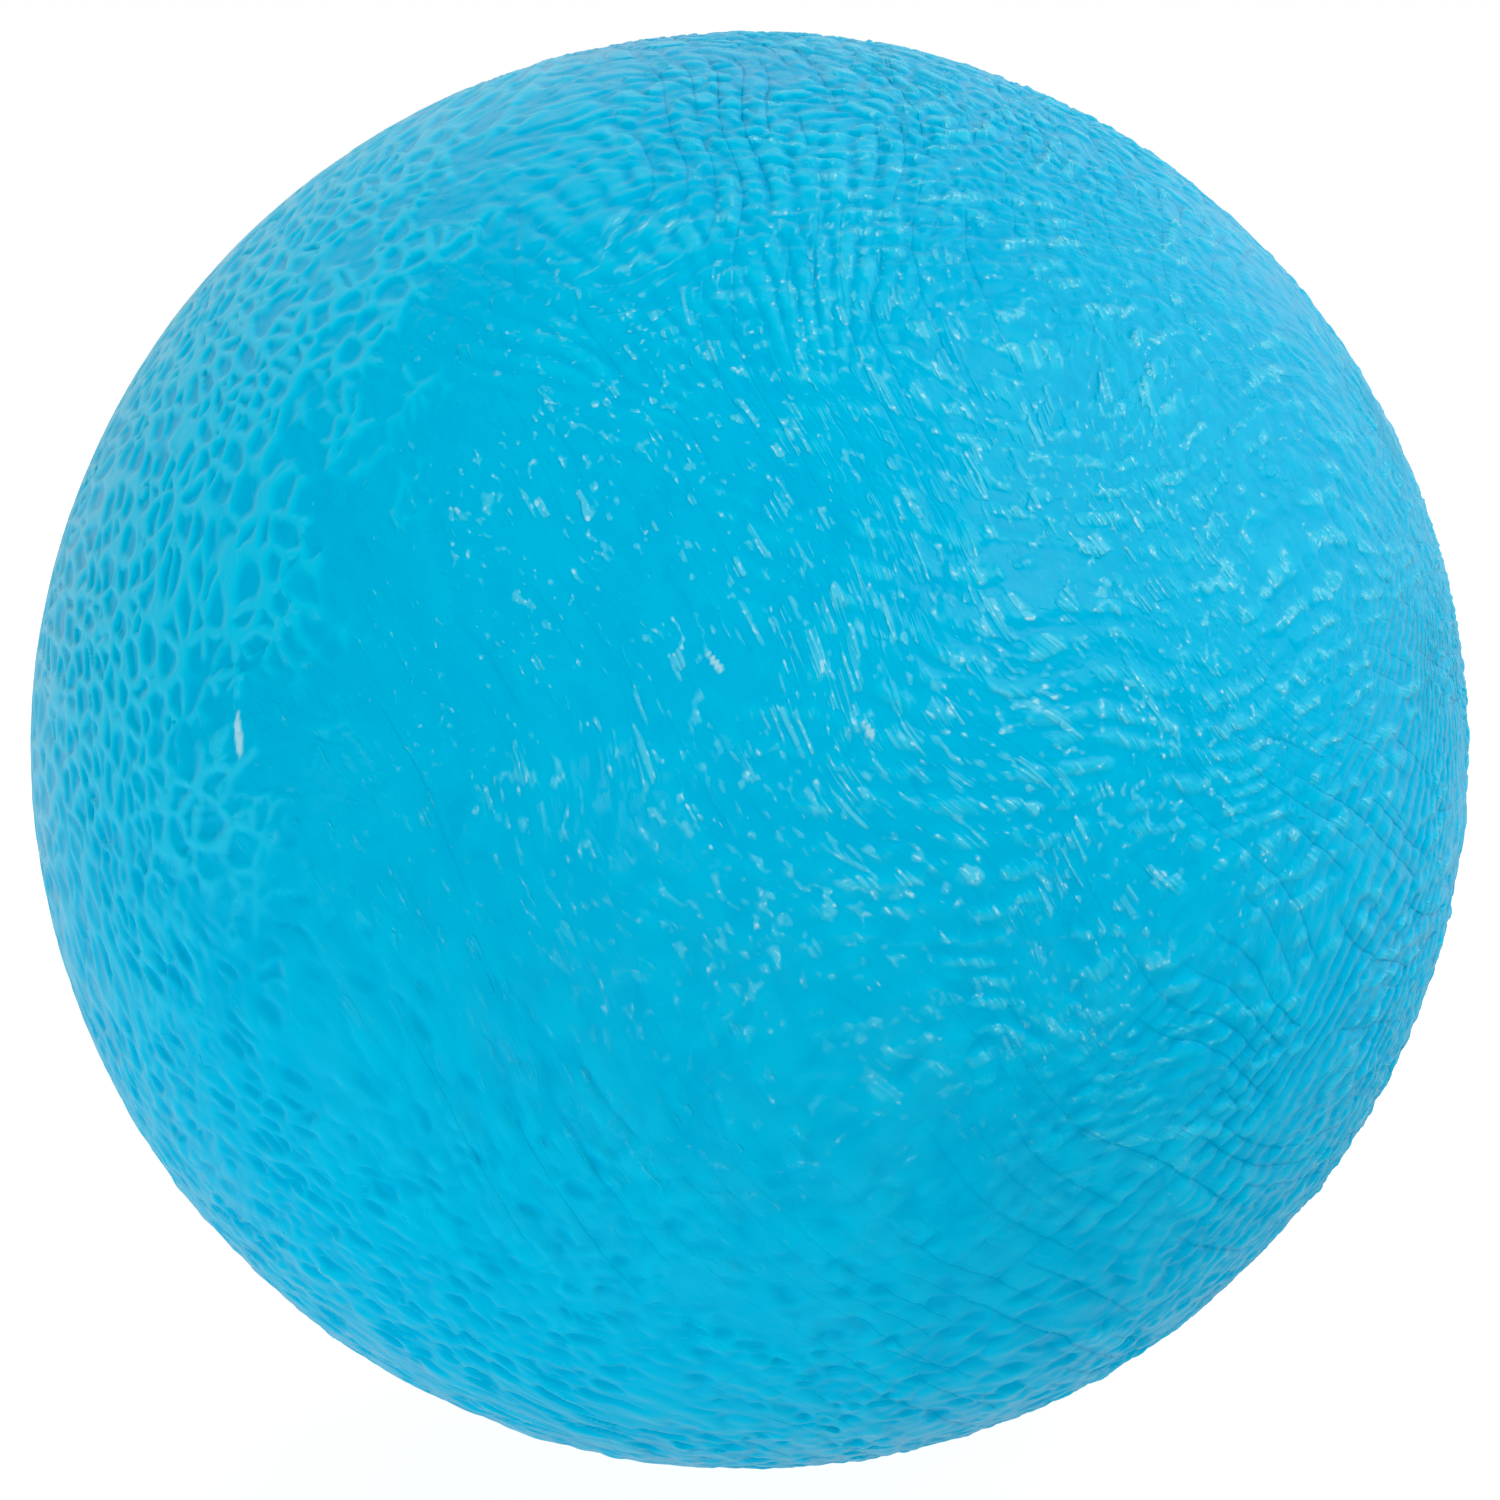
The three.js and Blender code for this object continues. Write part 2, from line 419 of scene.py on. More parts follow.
def relief(directions):
    """The surface's height over the ball's radius in millimetres, and what its material needs there."""
    grain = Grain(directions)
    line = raised_lines(grain)
    pit = pits(grain)
    fold = folds(grain)
    rib, rib_place = ribs(grain)
    bands, crease_place = creases(grain)
    crease = (1 - np.abs(np.sin(math.pi * bands)) ** 0.4) * crease_place
    deep = np.maximum(np.maximum(grain.top, 0.5 * grain.fan), 0.7 * grain.lower_right)
    rows, row_place = pillow_rows(grain, bands)
    coarse = smoothstep(26, 40, grain.turn)
    groove = (1 - np.abs(np.sin(math.pi * rows)) ** 0.8) * row_place * coarse
    block, block_place = blocks(grain)
    long_crease, long_place = long_creases(grain)
    single = single_marks(directions)

    height = (0.06 + 0.05 * grain.left) * (line - 0.5 * grain.left)
    height -= PIT_DEPTH * pit
    height += PILLOW_HEIGHT * pillows(grain)
    height += FOLD_HEIGHT * (fold - 0.3 * grain.right_half)
    height += RIB_HEIGHT * (rib - 0.5) * rib_place
    height -= CREASE_DEPTH * crease * (0.35 + 0.65 * deep)
    height -= ROW_DEPTH * groove
    height += BLOCK_HEIGHT * (block - 0.6) * block_place
    height -= LONG_CREASE_DEPTH * smoothstep(0.08, 0.0, np.abs(long_crease)) * long_place
    height += lumps(grain)
    height += MARK_HEIGHT * single
    marks = {
        "lay": np.column_stack([grain.along, grain.around]),
        "relief": height,
        "raised_line": line,
        "fold": fold,
        "pit": pit,
        "block": block * block_place,
        "single": single,
        # Where the painted highlights on the pimples and glints are strongest
        "highlight_place": grain.near((0.28, 0.26, 0.92), 18, 50),
        "rib": rib * rib_place,
        "glinting": grain.near((0.58, 0.52, 0.63), 14, 36),
        "combed": grain.near((0.3, 0.25, 0.92), 8, 30),
        "groove": groove,
        "bands": bands,
        "crease_place": crease_place,
        "long_crease": long_crease,
        "long_place": long_place,
        "rows": rows,
        "fine_rows": ROW_DEPTH * row_place * (1 - coarse),
        "network": grain.left,
        "pitted": grain.pitted,
        "spotted": grain.near((0.02, 0.1, 1.0), 16, 50) * (1 - grain.left),
    }
    return height, marks


# ---------------------------------------------------------------- mesh of the skin

def cube_face(normal, across, steps):
    """Directions on one swelled face of a cube, in a grid of steps each way."""
    normal = np.array(normal, float)
    across = np.array(across, float)
    up = np.cross(normal, across)
    t = np.tan(np.linspace(-1, 1, steps + 1) * math.pi / 4)
    a, b = np.meshgrid(t, t, indexing="ij")
    grid = normal + a[..., None] * across + b[..., None] * up
    return grid / np.linalg.norm(grid, axis=2, keepdims=True)


def grid_quads(index, closed=False):
    """Quads of a grid of vertex numbers. A closed grid's columns wrap round."""
    if closed:
        index = np.concatenate([index, index[:, :1]], axis=1)
    corners = [index[:-1, :-1], index[1:, :-1], index[1:, 1:], index[:-1, 1:]]
    return np.stack(corners, axis=-1).reshape(-1, 4)


def port_rings(steps, edge_angle):
    """Directions on rings round +Y, from the square edge of the cube's face in to a circle."""
    around = turn_angles(4 * steps)
    reach = np.maximum(np.abs(np.cos(around)), np.abs(np.sin(around)))
    square = np.arctan(1 / reach)
    count = round((math.pi / 4 - edge_angle) / (math.pi / 2) * steps)
    share = np.linspace(0, 1, count + 1)[:, None]
    angle = square + share * (edge_angle - square)
    return np.stack(
        [np.sin(angle) * np.cos(around), np.cos(angle), np.sin(angle) * np.sin(around)], axis=2
    )


def turn_angles(segments):
    return np.arange(segments) * 2 * math.pi / segments - math.pi / 4


def turned_rings(profile, segments):
    """Points on rings round the +Y axis, one ring for each radius and height of the profile."""
    around = turn_angles(segments)
    radius, y = np.array(profile).T
    rings = np.stack([np.outer(radius, np.cos(around)), np.outer(radius, np.sin(around))], axis=2)
    return np.insert(rings, 1, y[:, None], axis=2)


def softened(profile, size):
    """The profile with each of its sharp corners rounded off over a distance of size."""
    profile = np.array(profile, float)
    made = [profile[0]]
    for before, here, after in zip(profile, profile[1:], profile[2:]):
        back, ahead = before - here, after - here
        back_length, ahead_length = np.linalg.norm(back), np.linalg.norm(ahead)
        straightness = -back @ ahead / (back_length * ahead_length)
        if straightness > math.cos(math.radians(25)):
            made.append(here)
            continue
        start = here + back * min(size / back_length, 0.45)
        end = here + ahead * min(size / ahead_length, 0.45)
        for t in (0, 0.25, 0.5, 0.75, 1):
            made.append((1 - t) ** 2 * start + 2 * t * (1 - t) * here + t * t * end)
    made.append(profile[-1])
    return np.array(made)


def arc(radius, from_y, to_y, steps):
    """Profile points on a sphere's meridian between two heights."""
    angles = np.linspace(math.asin(from_y / radius), math.asin(to_y / radius), steps + 1)
    return [(radius * math.cos(a) if math.cos(a) > 1e-9 else 0, radius * math.sin(a)) for a in angles]


def stitched(fine, coarse):
    """Triangles between a ring of many vertices and the next ring of fewer, in the order of grid_quads."""
    times = len(fine) // len(coarse)
    next_fine, next_coarse = np.roll(fine, -1), np.roll(coarse, -1)
    segment = np.arange(len(fine)) // times
    early = np.arange(len(fine)) % times < times // 2
    tips = np.where(early, coarse[segment], next_coarse[segment])
    return np.concatenate(
        [
            np.stack([fine, tips, next_fine], axis=1),
            np.stack([fine[times // 2 :: times], coarse, next_coarse], axis=1),
        ]
    )


def new_mesh(name, points, quads, triangles=()):
    mesh = bpy.data.meshes.new(name)
    loops = np.concatenate([np.ravel(quads), np.ravel(triangles).astype(int)]).astype(np.int32)
    sizes = np.concatenate([np.full(len(quads), 4), np.full(len(triangles), 3)]).astype(np.int32)
    starts = np.concatenate([[0], np.cumsum(sizes)[:-1]]).astype(np.int32)
    mesh.vertices.add(len(points))
    mesh.vertices.foreach_set("co", np.asarray(points, np.float32).ravel())
    mesh.loops.add(len(loops))
    mesh.loops.foreach_set("vertex_index", loops)
    mesh.polygons.add(len(sizes))
    mesh.polygons.foreach_set("loop_start", starts)
    mesh.update(calc_edges=True)
    mesh.validate()
    mesh.shade_smooth()
    obj = bpy.data.objects.new(name, mesh)
    bpy.context.scene.collection.objects.link(obj)
    return obj


def store(obj, name, values):
    """Keep numbers or vectors at the mesh's points, for its material."""
    kind, field = ("FLOAT", "value") if values.ndim == 1 else ("FLOAT_VECTOR", "vector")
    made = obj.data.attributes.new(name, kind, "POINT")
    made.data.foreach_set(field, values.astype(np.float32).ravel())


def grid_places(rows, columns, left, bottom, right, top):
    """Places in the unwrapping, for the corners of each quad of a grid."""
    u, v = np.meshgrid(np.linspace(left, right, rows), np.linspace(bottom, top, columns), indexing="ij")
    points = np.stack([u, v], axis=2)
    corners = [points[:-1, :-1], points[1:, :-1], points[1:, 1:], points[:-1, 1:]]
    return np.stack(corners, axis=2).reshape(-1, 4, 2)


def skin_surface():
    """Directions over the ball apart from the port, quads between them with their unwrapping, and the
    port's edge."""
    faces = [
        ((0, -1, 0), (1, 0, 0)),
        ((1, 0, 0), (0, 1, 0)),
        ((-1, 0, 0), (0, -1, 0)),
        ((0, 0, 1), (1, 0, 0)),
        ((0, 0, -1), (-1, 0, 0)),
    ]
    grids = [cube_face(normal, across, STEPS) for normal, across in faces]
    rings = port_rings(STEPS, math.asin((RECESS_RADIUS + PORT_ROUNDING) / RADIUS))
    every = np.concatenate([g.reshape(-1, 3) for g in grids] + [rings.reshape(-1, 3)])
    steps = np.round(every * 1e6).astype(np.int64) + (1 << 20)
    keys = (steps[:, 0] << 42) | (steps[:, 1] << 21) | steps[:, 2]
    _, kept, number = np.unique(keys, return_index=True, return_inverse=True)
    quads, places = [], []
    start = 0
    for i, grid in enumerate(grids):
        size = grid.shape[0] * grid.shape[1]
        quads.append(grid_quads(number[start : start + size].reshape(grid.shape[:2])))
        left, bottom = UNWRAP_MARGIN + i % 3 / 3, UNWRAP_FOOT + i // 3 * UNWRAP_ROW
        across, tall = 1 / 3 - 2 * UNWRAP_MARGIN, UNWRAP_ROW - 2 * UNWRAP_MARGIN
        places.append(grid_places(STEPS + 1, STEPS + 1, left, bottom, left + across, bottom + tall))
        start += size
    ring_numbers = number[start:].reshape(rings.shape[:2])
    port_quads = grid_quads(ring_numbers, closed=True)
    quads.append(port_quads)
    flat = every[kept][port_quads]
    u, v = np.arctan2(flat[..., 0], flat[..., 1]), np.arctan2(flat[..., 2], flat[..., 1])
    middle = np.array([5 / 6, UNWRAP_FOOT + 1.5 * UNWRAP_ROW - UNWRAP_MARGIN])
    half = np.array([across, tall]) / 2
    places.append(middle + np.stack([u, v], axis=-1) / (math.pi / 4) * half)
    return every[kept], np.concatenate(quads), np.concatenate(places), ring_numbers[-1]


def skin_inside():
    """Profiles from the port's edge in: the recess with its ledge, then the bore, the pad's face and the
    cavity."""
    y = math.sqrt(RADIUS**2 - (RECESS_RADIUS + PORT_ROUNDING) ** 2)
    lip = [
        (RECESS_RADIUS + PORT_ROUNDING * (1 - math.sin(a)), y - PORT_ROUNDING * (1 - math.cos(a)))
        for a in np.linspace(0, math.pi / 2, 7)[1:]
    ]
    step = 0.1 * MM
    recess = [(RECESS_RADIUS, LEDGE_Y + step), (RECESS_RADIUS, LEDGE_Y), (RECESS_RADIUS - step, LEDGE_Y)]
    rim = [(BORE_RADIUS + 0.3 * MM, LEDGE_Y), (BORE_RADIUS, LEDGE_Y), (BORE_RADIUS, PAD_FACE_Y)]
    cavity = arc(CAVITY_RADIUS, PAD_FACE_Y, -CAVITY_RADIUS, 60)
    rim += cavity[:1]
    return lip + recess, list(softened(rim, 0.15 * MM)) + cavity[1:]


def make_skin():
    directions, quads, places, edge = skin_surface()
    height, marks = relief(directions)
    from_axis = np.hypot(directions[:, 0], directions[:, 2]) * RADIUS
    height *= np.where(directions[:, 1] > 0, smoothstep(RECESS_RADIUS, RECESS_RADIUS + MM, from_axis), 1)
    points = directions * (RADIUS + height * MM)[:, None]
    points[:, 2] = np.maximum(points[:, 2], -FLOOR_DEPTH)

    fine_profile, coarse_profile = skin_inside()
    fine = turned_rings(fine_profile, len(edge))
    coarse = turned_rings(coarse_profile[:-1], INSIDE_SEGMENTS)
    fine_numbers = len(points) + np.arange(fine.shape[0] * fine.shape[1]).reshape(fine.shape[:2])
    fine_numbers = np.concatenate([edge[None], fine_numbers])
    first = fine_numbers[-1, -1] + 1
    coarse_numbers = first + np.arange(coarse.shape[0] * coarse.shape[1]).reshape(coarse.shape[:2])
    pole = coarse_numbers[-1, -1] + 1
    last_ring = coarse_numbers[-1]
    triangles = np.concatenate(
        [
            stitched(fine_numbers[-1], coarse_numbers[0]),
            np.stack([last_ring, np.full_like(last_ring, pole), np.roll(last_ring, -1)], axis=1),
        ]
    )
    far_pole = [[0, -CAVITY_RADIUS, 0]]
    every = np.concatenate([points, fine.reshape(-1, 3), coarse.reshape(-1, 3), far_pole])
    fine_quads, coarse_quads = grid_quads(fine_numbers, closed=True), grid_quads(coarse_numbers, closed=True)
    strip = UNWRAP_FOOT - 2 * UNWRAP_MARGIN
    lip_top, seam = 0.2 * strip, 0.25 * strip
    inner_places = []
    for numbers, left, right in ((fine_numbers, 0, lip_top), (coarse_numbers, seam, strip)):
        rows, columns = numbers.shape
        inner_places.append(grid_places(rows, columns + 1, left, 0.002, right, 0.998)[..., ::-1])
    all_quads = np.concatenate([quads, fine_quads, coarse_quads])
    obj = new_mesh("skin", every + np.array(CENTRE), all_quads, triangles)
    unwrap = np.concatenate([places, *inner_places]).reshape(-1, 2)
    # The few triangles between the rings lie in a corner of their own
    spare = np.tile([[0.001, 0.0005], [0.003, 0.0005], [0.002, 0.0015]], (len(triangles), 1))
    layer = obj.data.uv_layers.new(name="OFBake")
    layer.data.foreach_set("uv", np.concatenate([unwrap, spare]).astype(np.float32).ravel())
    for name, values in marks.items():
        padding = [(0, len(every) - len(points))] + [(0, 0)] * (values.ndim - 1)
        store(obj, name, np.pad(values, padding))
    return obj


def turned_piece(name, profile, segments, ripple=0.0):
    """A closed piece turned round the port's axis, whose surface may ripple a little."""
    rings = turned_rings(profile[1:-1], segments)
    points = np.concatenate([rings.reshape(-1, 3), [[0, profile[0][1], 0], [0, profile[-1][1], 0]]])
    if ripple:
        way = points / np.linalg.norm(points, axis=1, keepdims=True)
        away_from_port = smoothstep(0.85, 0.7, way[:, 1])
        points += way * (ripple * away_from_port * fractal(way * 7, 3, 500))[:, None]
    numbers = np.arange(rings.shape[0] * rings.shape[1]).reshape(rings.shape[:2])
    first_pole, last_pole = len(points) - 2, len(points) - 1
    triangles = [
        np.stack([np.full(segments, first_pole), numbers[0], np.roll(numbers[0], -1)], axis=1),
        np.stack([numbers[-1], np.full(segments, last_pole), np.roll(numbers[-1], -1)], axis=1),
    ]
    quads = grid_quads(numbers, closed=True)
    return new_mesh(name, points + np.array(CENTRE), quads, np.concatenate(triangles))


def make_plug():
    """The plug: a spigot, and a head whose face carries on the ball's curve and its grain, round a
    moulding mark."""
    spigot_y, spigot_radius = STOPPER_TOP_Y + GAP, BORE_RADIUS - GAP
    face_y = math.sqrt(RADIUS**2 - HEAD_RADIUS**2)
    corners = [
        (0, spigot_y), (spigot_radius, spigot_y),
        (spigot_radius, LEDGE_Y + GAP), (HEAD_RADIUS, LEDGE_Y + GAP),
        *arc(RADIUS, face_y, RADIUS, 60),
    ]
    plug = turned_piece("plug", softened(corners, PORT_ROUNDING), PLUG_SEGMENTS)
    points = np.empty(len(plug.data.vertices) * 3)
    plug.data.vertices.foreach_get("co", points)
    points = points.reshape(-1, 3) - np.array(CENTRE)
    directions = points / np.linalg.norm(points, axis=1, keepdims=True)
    height, marks = relief(directions)
    from_axis = np.hypot(points[:, 0], points[:, 2])
    on_face = smoothstep(HEAD_RADIUS - 0.05 * MM, HEAD_RADIUS - 0.8 * MM, from_axis)
    on_face *= smoothstep(LEDGE_Y + 1.2 * MM, LEDGE_Y + 1.5 * MM, points[:, 1])
    # The moulding mark is a shallow dish with a small nub at its middle
    nub = smoothstep(0.3 * MM, 0.1 * MM, from_axis)
    mark = smoothstep(0.75 * MM, 0.6 * MM, from_axis) * (0.16 - 0.12 * nub)
    grained = height * (1 - smoothstep(MM, 0.6 * MM, from_axis))
    points += directions * ((grained - mark) * on_face * MM)[:, None]
    points[:, 1] = np.minimum(points[:, 1], RADIUS)
    plug.data.vertices.foreach_set("co", (points + np.array(CENTRE)).ravel())
    plug.data.update()
    for name, values in marks.items():
        flat = name not in ("lay", "bands", "rows", "long_crease", "network", "pitted")
        store(plug, name, values * on_face if flat else values)
    return plug


def make_bladder():
    outer, neck = CAVITY_RADIUS - GAP, BORE_RADIUS - GAP
    inner, face_y = outer - BLADDER_WALL, PAD_FACE_Y - GAP
    inner_face_y = face_y - BLADDER_WALL
    outside = arc(outer, -outer, face_y, 72)
    inside = arc(inner, inner_face_y, -inner, 72)
    neck_bore = neck - BLADDER_WALL
    collar = [
        outside[-1], (neck, face_y), (neck, NECK_TOP_Y),
        (neck_bore, NECK_TOP_Y), (neck_bore, inner_face_y), inside[0],
    ]
    profile = outside[:-1] + list(softened(collar, 0.2 * MM)) + inside[1:]
    return turned_piece("bladder", profile, FILLING_SEGMENTS, RIPPLE)


def make_gel():
    radius = CAVITY_RADIUS - BLADDER_WALL - 2 * GAP
    face_y = PAD_FACE_Y - BLADDER_WALL - 2 * GAP
    profile = arc(radius, -radius, face_y, 72) + [(0.02 * radius, face_y), (0, face_y)]
    return turned_piece("gel", softened(profile, 0.5 * MM), FILLING_SEGMENTS, RIPPLE)


def make_stopper():
    stem, head = BORE_RADIUS - 2 * GAP - BLADDER_WALL, STOPPER_HEAD_RADIUS
    foot, head_y = PAD_FACE_Y - GAP - BLADDER_WALL, NECK_TOP_Y + GAP
    corners = [
        (0, foot), (stem, foot), (stem, head_y),
        (head, head_y), (head, STOPPER_TOP_Y), (0, STOPPER_TOP_Y),
    ]
    return turned_piece("stopper", softened(corners, 0.15 * MM), STOPPER_SEGMENTS)


# ---------------------------------------------------------------- materials

class Shader:
    """Short names for building a node material."""

    def __init__(self, name):
        self.material = bpy.data.materials.new(name)
        self.material.use_nodes = True
        self.nodes = self.material.node_tree.nodes
        self.links = self.material.node_tree.links
        self.surface = self.nodes["Principled BSDF"]

    def node(self, kind, settings=(), **inputs):
        made = self.nodes.new("ShaderNode" + kind)
        for name, value in dict(settings).items():
            setattr(made, name, value)
        for name, value in inputs.items():
            self.put(made, name, value)
        return made

    def put(self, node, name, value):
        name = name.replace("_", " ")
        socket = next(x for x in node.inputs if x.name == name and x.enabled)
        if isinstance(value, bpy.types.NodeSocket):
            self.links.new(value, socket)
        else:
            socket.default_value = value

    def attribute(self, name, output):
        return self.node("Attribute", {"attribute_name": name}).outputs[output]

    def scaled(self, vector, scale):
        made = self.node("VectorMath", {"operation": "MULTIPLY"})
        self.links.new(vector, made.inputs[0])
        made.inputs[1].default_value = scale
        return made.outputs[0]

    def noise(self, vector, detail=2.0, roughness=0.5):
        made = self.node("TexNoise", Vector=vector, Scale=1.0, Detail=detail, Roughness=roughness)
        return made.outputs["Fac"]

    def span(self, value, low, high, to_low=0.0, to_high=1.0):
        made = self.node("MapRange", {"interpolation_type": "SMOOTHSTEP"})
        self.links.new(value, made.inputs["Value"])
        for name, x in zip(("From Min", "From Max", "To Min", "To Max"), (low, high, to_low, to_high)):
            made.inputs[name].default_value = x
        return made.outputs["Result"]

    def maths(self, operation, a, b=0.0):
        made = self.node("Math", {"operation": operation})
        for socket, value in zip(made.inputs, (a, b)):
            if isinstance(value, bpy.types.NodeSocket):
                self.links.new(value, socket)
            else:
                socket.default_value = value
        return made.outputs[0]

    def times(self, a, b):
        return self.maths("MULTIPLY", a, b)

    def mix(self, factor, a, b):
        made = self.node("Mix", {"data_type": "RGBA"})
        self.links.new(factor, made.inputs["Factor"])
        for socket, value in zip([x for x in made.inputs if x.type == "RGBA"], (a, b)):
            if isinstance(value, bpy.types.NodeSocket):
                self.links.new(value, socket)
            else:
                socket.default_value = (*value, 1)
        return made.outputs["Result"] if made.outputs["Result"].enabled else made.outputs[2]


# The skin's colours: its own level, mottle and cloud tones, then painted shade for the low places, pits,
# grooves and creases, and painted sheen and highlights for the raised lines, folds, pimples, glints and
# single marks
LOW_SHADE_COLOUR = (0.0, 0.38, 0.65)
LEVEL_COLOUR = (0.0, 0.475, 0.725)
MOTTLE_COLOUR = (0.0, 0.42, 0.68)
CLOUD_COLOUR = (0.005, 0.495, 0.735)
RAISED_SHEEN_COLOUR = (0.025, 0.54, 0.77)
FOLD_SHEEN_COLOUR = (0.035, 0.53, 0.74)
SPOT_HIGHLIGHT_COLOUR = (0.13, 0.61, 0.79)
SPARKLE_GLINT_COLOUR = (0.45, 0.78, 0.87)
PIT_SHADE_COLOUR = (0.0, 0.36, 0.63)
SINGLE_HIGHLIGHT_COLOUR = (0.4, 0.7, 0.79)
CREASE_SHADE_COLOUR = (0.0, 0.31, 0.58)


def skin_material(name):
    shader = Shader(name)
    surface = shader.surface
    surface.inputs["IOR"].default_value = 1.4
    surface.inputs["Sheen Weight"].default_value = 0.02
    surface.inputs["Sheen Roughness"].default_value = 0.4
    lay = shader.attribute("lay", "Vector")
    network = shader.attribute("network", "Fac")
    pitted = shader.attribute("pitted", "Fac")
    plain = shader.times(shader.span(network, 0.5, 1.0, 1.0, 0.1), shader.span(pitted, 0.3, 1.0, 1.0, 0.15))

    # Streaks round the pole, in patches and across the folds
    fold = shader.attribute("fold", "Fac")
    streak_wave = shader.noise(shader.scaled(lay, (1 / 0.16, 1 / 2.6, 1 / 2.6)), 1.0)
    patch = shader.noise(shader.scaled(lay, (1 / 0.9, 1 / 1.2, 1 / 1.2)), 2.0)
    patch = shader.maths("ADD", patch, shader.times(shader.attribute("combed", "Fac"), 0.07))
    patch = shader.span(patch, 0.58, 0.66)
    where = shader.maths("ADD", patch, shader.times(fold, 0.7))
    streak = shader.times(streak_wave, shader.times(where, plain))
    height = shader.times(streak, 0.03)

    # Pimples drawn out the same way, in loose clusters
    spot = shader.noise(shader.scaled(lay, (1 / 0.28, 1 / 0.46, 1 / 0.46)), 1.0, 0.4)
    cluster = shader.noise(shader.scaled(lay, (1 / 2.0, 1 / 3.0, 1 / 3.0)), 2.0)
    spot = shader.maths("ADD", spot, shader.span(cluster, 0.35, 0.65, -0.05, 0.04))
    spotted = shader.attribute("spotted", "Fac")
    spot = shader.maths("ADD", spot, shader.span(spotted, 0.0, 1.0, -0.09, -0.005))
    pimple = shader.times(shader.span(spot, 0.54, 0.84), plain)
    dash = shader.maths("MAXIMUM", shader.span(fold, 0.15, 0.8), shader.times(patch, spotted))
    dash = shader.times(shader.span(streak_wave, 0.44, 0.72), dash)
    point = shader.node("TexCoord").outputs["Object"]
    glint = shader.noise(shader.scaled(point, (1 / (0.24 * MM),) * 3), 0.0)
    glint = shader.times(shader.span(glint, 0.5, 0.66), shader.span(fold, 0.25, 0.9))
    glint = shader.times(glint, shader.attribute("glinting", "Fac"))
    pimple = shader.maths("MAXIMUM", pimple, shader.maths("MAXIMUM", dash, glint))
    height = shader.maths("ADD", height, shader.times(pimple, 0.02))
    # Tiny near-white glints on the pimples, painted into the colour below
    sparkle_glint = shader.noise(shader.scaled(lay, (1 / 0.14, 1 / 0.2, 1 / 0.2)), 0.0)
    sparkle_glint = shader.times(shader.span(sparkle_glint, 0.6, 0.78), shader.span(pimple, 0.15, 0.7))
    highlight_place = shader.span(shader.attribute("highlight_place", "Fac"), 0.0, 1.0, 0.25, 1.0)
    sparkle_glint = shader.times(sparkle_glint, highlight_place)

    # Small lumps everywhere
    lump = shader.noise(shader.scaled(lay, (1 / 0.35, 1 / 0.7, 1 / 0.7)), 1.0)
    lump = shader.times(lump, shader.times(plain, 0.035))
    height = shader.maths("ADD", height, lump)

    # Hair-thin creases, and a few long ones
    across = shader.maths("SINE", shader.times(shader.attribute("bands", "Fac"), math.pi))
    hair = shader.span(shader.maths("ABSOLUTE", across), 0.28, 0.0)
    hair = shader.times(hair, shader.attribute("crease_place", "Fac"))
    long_hair = shader.span(shader.maths("ABSOLUTE", shader.attribute("long_crease", "Fac")), 0.035, 0.0)
    long_hair = shader.times(long_hair, shader.times(shader.attribute("long_place", "Fac"), 0.6))
    hair = shader.maths("MAXIMUM", hair, long_hair)
    height = shader.maths("SUBTRACT", height, shader.times(hair, 0.02))

    # Rows too fine for the mesh
    row = shader.maths("SINE", shader.times(shader.attribute("rows", "Fac"), math.pi))
    row = shader.maths("POWER", shader.maths("ABSOLUTE", row), 0.8)
    row = shader.times(row, shader.attribute("fine_rows", "Fac"))
    height = shader.maths("ADD", height, row)
    bump = shader.node("Bump", Strength=1.0, Distance=MM, Height=height)
    shader.put(surface, "Normal", bump.outputs["Normal"])

    # Colour: deeper where the surface is low, as painted shade, and paler on its raised lines, as painted
    # sheen
    painted_low_shade = shader.span(shader.attribute("relief", "Fac"), -0.12, 0.08)
    mottle = shader.noise(shader.scaled(lay, (1 / 2.0, 1 / 3.0, 1 / 3.0)), 3.0)
    colour = shader.mix(painted_low_shade, LOW_SHADE_COLOUR, LEVEL_COLOUR)
    colour = shader.mix(shader.span(mottle, 0.3, 0.7, 0.0, 0.3), colour, MOTTLE_COLOUR)
    cloud = shader.noise(shader.scaled(lay, (1 / 0.6, 1 / 1.1, 1 / 1.1)), 2.0)
    colour = shader.mix(shader.span(cloud, 0.4, 0.66, 0.0, 0.25), colour, CLOUD_COLOUR)
    # Painted sheen on the raised lines, the blocks' tops and the ribs
    raised = shader.span(shader.attribute("block", "Fac"), 0.3, 1.0, 0.0, 0.7)
    raised = shader.maths("MAXIMUM", shader.attribute("raised_line", "Fac"), raised)
    raised = shader.maths("MAXIMUM", raised, shader.times(shader.attribute("rib", "Fac"), 0.8))
    colour = shader.mix(shader.span(raised, 0.05, 1.0, 0.0, 0.7), colour, RAISED_SHEEN_COLOUR)
    # Painted sheen along the folds
    colour = shader.mix(shader.span(fold, 0.1, 1.0, 0.0, 0.4), colour, FOLD_SHEEN_COLOUR)
    # Painted highlights on the pimples, dashes and glints, strongest where the lamps' reflection falls
    pale = shader.times(shader.span(pimple, 0.0, 0.9, 0.0, 0.58), highlight_place)
    colour = shader.mix(pale, colour, SPOT_HIGHLIGHT_COLOUR)
    # Painted glints
    colour = shader.mix(shader.times(sparkle_glint, 0.6), colour, SPARKLE_GLINT_COLOUR)
    # Painted shade in the pits
    colour = shader.mix(shader.span(shader.attribute("pit", "Fac"), 0.1, 1.0, 0.0, 0.5), colour, PIT_SHADE_COLOUR)
    # Painted highlights on the single raised marks
    single = shader.span(shader.attribute("single", "Fac"), 0.1, 0.9, 0.0, 0.8)
    colour = shader.mix(single, colour, SINGLE_HIGHLIGHT_COLOUR)
